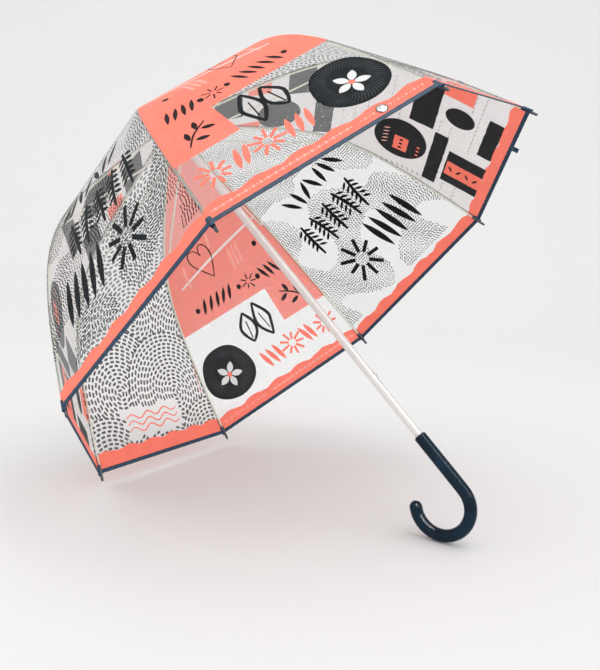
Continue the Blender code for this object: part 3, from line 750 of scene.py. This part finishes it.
TAPE_FOLD = [(-0.0052, 0.00062), (-0.0050, 0.00082), (0.0, 0.00078), (0.0008, 0.00060),
             (0.0011, 0.0), (0.0008, -0.00060), (0.0, -0.00078), (-0.0050, -0.00082),
             (-0.0052, -0.00062), (-0.0045, -0.00035), (0.0002, -0.00035), (0.0002, 0.00035),
             (-0.0045, 0.00035)]
STITCH_PITCH, STITCH_LIFT = 0.0026, 0.00096


def make_binding(gore, side):
    """Folded tape over the hem, slightly puckered, with a row of stitches on both faces."""
    half = half_width(LENGTH)
    steps = 40
    verts, faces, inks = [], [], []
    count = len(TAPE_FOLD)
    for a in range(steps + 1):
        x = side * half * a / steps
        pucker = 0.00010 * math.sin(a * 1.9 + gore.m) + 0.00006 * math.sin(a * 4.7)
        for d, h in TAPE_FOLD:
            verts.append(gore.point(x, LENGTH + d + (pucker if d > -0.004 else pucker * 1.6),
                                    h + math.copysign(pucker * 0.6, h)))
    for a in range(steps):
        for b in range(count):
            c = (b + 1) % count
            q = (a * count + b, a * count + c, (a + 1) * count + c, (a + 1) * count + b)
            faces.append(q if side > 0 else q[::-1])
            inks.append(0)
    stitches = int(half / STITCH_PITCH)
    for a in range(stitches):
        x1 = half * (a + 0.2) / stitches
        x2 = half * (a + 0.8) / stitches
        for h in (STITCH_LIFT, -STITCH_LIFT):
            start = len(verts)
            for x, d in ((x1, -0.0044), (x2, -0.0044), (x2, -0.0040), (x1, -0.0040)):
                verts.append(gore.point(side * x, LENGTH + d, h))
            order = [start, start + 1, start + 2, start + 3]
            faces.append(order if (h > 0) == (side < 0) else order[::-1])
            inks.append(1)
    name = f"hem_tape_gore{gore.m + 1}_{'left' if side < 0 else 'right'}"
    ob = publish(name, verts, faces, [TAPE, THREAD], inks)
    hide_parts(f"hem_binding_{gore.rib(side)}")
    return ob


def build_canopy():
    for m in range(8):
        gore = Gore(m)
        for side in (-1, 1):
            for k in range(len(BANDS) - 1):
                film = make_film_band(gore, side, k)
                extra = [make_ink_band(gore, side, k, DESIGNS[m])]
                if k == LAST:
                    extra.append(make_binding(gore, side))
                for ob in [film] + extra:
                    pleat(ob, gore, side, k)


build_canopy()


# ---------------------------------------------------------------- small pieces
def turned(name, profile, origin, axis, mat, segments=40):
    """A piece turned from (radius, height) points about axis through origin."""
    z = Vector(axis).normalized()
    x = (Vector((0, 0, 1)) if abs(z.z) < 0.9 else Vector((1, 0, 0))).cross(z).normalized()
    y = z.cross(x)
    verts, faces = [], []
    for r, h in profile:
        for k in range(segments):
            t = 2 * math.pi * k / segments
            verts.append(Vector(origin) + z * h + x * (r * math.cos(t)) + y * (r * math.sin(t)))
    for a in range(len(profile) - 1):
        for k in range(segments):
            j = (k + 1) % segments
            faces.append((a * segments + k, a * segments + j,
                          (a + 1) * segments + j, (a + 1) * segments + k))
    last = (len(profile) - 1) * segments
    faces.append(list(range(segments))[::-1])
    faces.append(list(range(last, last + segments)))
    return publish(name, verts, faces, [mat])


def build_pockets():
    """Folded tape over the hem at each rib."""
    for rib in range(1, 9):
        left, right = Gore(rib - 1), Gore(rib % 8)
        verts, faces = [], []
        rows = [LENGTH - 0.0105 + 0.0145 * k / 8 for k in range(9)]
        for h in (0.0013, -0.0052):
            for s in rows:
                wide = 0.0042 + 0.0006 * math.sin((s - rows[0]) * 300)
                edge = half_width(s)
                for gore, share in ((left, -1), (left, -.5), (left, 0), (right, .5), (right, 1)):
                    side = 1 if gore is left else -1
                    verts.append(gore.point(side * (edge - abs(share) * wide), s,
                                            h * (1 - 0.55 * abs(share) ** 3)))
        n, count = 5, len(rows)
        for layer in (0, 1):
            base = layer * n * count
            for a in range(count - 1):
                for b in range(n - 1):
                    q = [base + a * n + b, base + (a + 1) * n + b,
                         base + (a + 1) * n + b + 1, base + a * n + b + 1]
                    faces.append(q if layer == 0 else q[::-1])
        top = n * count
        for a in range(count - 1):
            for b in (0, n - 1):
                q = [a * n + b, a * n + b + n, top + a * n + b + n, top + a * n + b]
                faces.append(q[::-1] if b == 0 else q)
        ob = publish(f"rib_pocket_{rib}", verts, faces, [TAPE])
        mod = ob.modifiers.new("soft", "SUBSURF")
        mod.levels = mod.render_levels = 1
        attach(ob, f"rib_body_{rib}")


build_pockets()


def build_snap():
    """The snap stud on the film near the hem, with its dark ring, and the strap's snap."""
    gore = Gore(7)
    at, n = gore.point(0.085, 0.579, 0.0007), gore.normal(0.579)
    stud = turned("snap_stud", [(0.0001, 0.0028), (0.0016, 0.0028), (0.0022, 0.0022),
                                (0.0019, 0.0014), (0.0024, 0.0008), (0.0056, 0.0008),
                                (0.0062, 0.0003), (0.0062, 0.0)], at, n, FINISH["steel_wire"])
    ring = turned("snap_backing", [(0.0074, 0.0), (0.0074, 0.0005), (0.0062, 0.0007),
                                   (0.0062, 0.0)], at - n * 0.0005, n, FINISH["navy_plastic"])
    for ob in (stud, ring):
        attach(ob, "rib_body_8")
    gore = Gore(0)
    half = half_width(0.53)
    at, n = gore.point(half * 0.40, 0.519, 0.0013), gore.normal(0.519)
    cap = turned("strap_snap", [(0.0001, 0.0016), (0.0030, 0.0014), (0.0052, 0.0009),
                                (0.0058, 0.0002), (0.0058, 0.0)], at, n, FINISH["navy_plastic"])
    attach(cap, "rib_body_1")


build_snap()


# ---------------------------------------------------------------- floor and light
# up from the floor, on which the umbrella lies tilted
FLOOR_N = Vector((0.76, 0.0, 0.65)).normalized()


def lowest(direction):
    """How low the resting object reaches along direction."""
    best = 1e9
    for ob in frame["nodes"].values():
        best = min(best, min((ob.matrix_world @ v.co).dot(direction) for v in ob.data.vertices))
    return best


def build_floor():
    """A pale sweep: flat under the umbrella, rising behind it, see-through from behind."""
    level = lowest(FLOOR_N) - 0.0005
    ahead = (-BACK - FLOOR_N * -BACK.dot(FLOOR_N)).normalized()
    across = ahead.cross(FLOOR_N)
    line = [(-6.0, 0.0), (-3.0, 0.0), (0.0, 0.0), (1.6, 0.0)]
    line += [(1.6 + 1.5 * math.sin(math.radians(a)), 1.5 - 1.5 * math.cos(math.radians(a)))
             for a in range(6, 91, 6)]
    line += [(3.1, 3.0), (3.1, 7.0)]
    verts, faces = [], []
    for d, h in line:
        for w in (-7.0, -2.0, 2.0, 7.0):
            verts.append(FLOOR_N * (level + h) + ahead * d + across * w)
    for a in range(len(line) - 1):
        for b in range(3):
            faces.append((a * 4 + b, a * 4 + b + 1, (a + 1) * 4 + b + 1, (a + 1) * 4 + b))
    mat, tree, shader = node_material("pale_paper", (0.83, 0.83, 0.83), 0.9)
    vary(tree, shader, (0.83, 0.83, 0.83), 0.004, 2.0)
    geometry = add(tree, "ShaderNodeNewGeometry")
    clear = add(tree, "ShaderNodeBsdfTransparent")
    mix = add(tree, "ShaderNodeMixShader")
    tree.links.new(geometry.outputs["Backfacing"], mix.inputs[0])
    tree.links.new(shader.outputs["BSDF"], mix.inputs[1])
    tree.links.new(clear.outputs["BSDF"], mix.inputs[2])
    tree.links.new(mix.outputs["Shader"], tree.nodes["Material Output"].inputs["Surface"])
    floor = publish("floor", verts, faces, [mat])
    if floor.data.polygons[0].normal.dot(FLOOR_N) < 0:
        floor.data.flip_normals()


def area_light(name, place, aim, size, power, colour=(1, 1, 1)):
    data = bpy.data.lights.new(name, "AREA")
    data.shape, data.size, data.energy, data.color = "DISK", size, power, colour
    ob = bpy.data.objects.new(name, data)
    turn = (Vector(aim) - Vector(place)).to_track_quat("-Z", "Y").to_matrix().to_4x4()
    ob.matrix_world = Matrix.Translation(place) @ turn
    bpy.context.scene.collection.objects.link(ob)


def build_light():
    world = bpy.data.worlds.new("studio")
    world.use_nodes = True
    world.node_tree.nodes["Background"].inputs["Color"].default_value = (1, 1, 1, 1)
    world.node_tree.nodes["Background"].inputs["Strength"].default_value = 0.96
    bpy.context.scene.world = world
    bpy.context.scene.view_settings.view_transform = "Standard"
    middle = Vector((0.0, 0.0, 0.35))
    area_light("top_softbox", middle + FLOOR_N * 2.4 + RIGHT * 0.7 + BACK * 0.2, middle, 1.6, 12)
    area_light("left_softbox", middle - RIGHT * 2.2 + UP * 1.2 + BACK * 1.0, middle, 1.2, 9)
    strip_light()


def strip_light():
    """A long strip beside the stick that only shows as a streak on glossy pieces."""
    axis = Vector((0, 0, 1))
    facing = (BACK - axis * BACK.z).normalized()
    beside = axis.cross(facing)
    turn = math.radians(37)
    out = facing * math.cos(turn) + beside * math.sin(turn)
    data = bpy.data.lights.new("strip", "AREA")
    data.shape, data.size, data.size_y, data.energy = "RECTANGLE", 0.55, 2.4, 100
    ob = bpy.data.objects.new("strip", data)
    place = out * 1.6 + axis * 0.45
    ob.matrix_world = (Matrix.Translation(place)
                       @ Matrix((beside * math.cos(turn) - facing * math.sin(turn), axis, out))
                       .transposed().to_4x4())
    ob.visible_camera = ob.visible_diffuse = ob.visible_transmission = False
    bpy.context.scene.collection.objects.link(ob)


build_floor()
build_light()
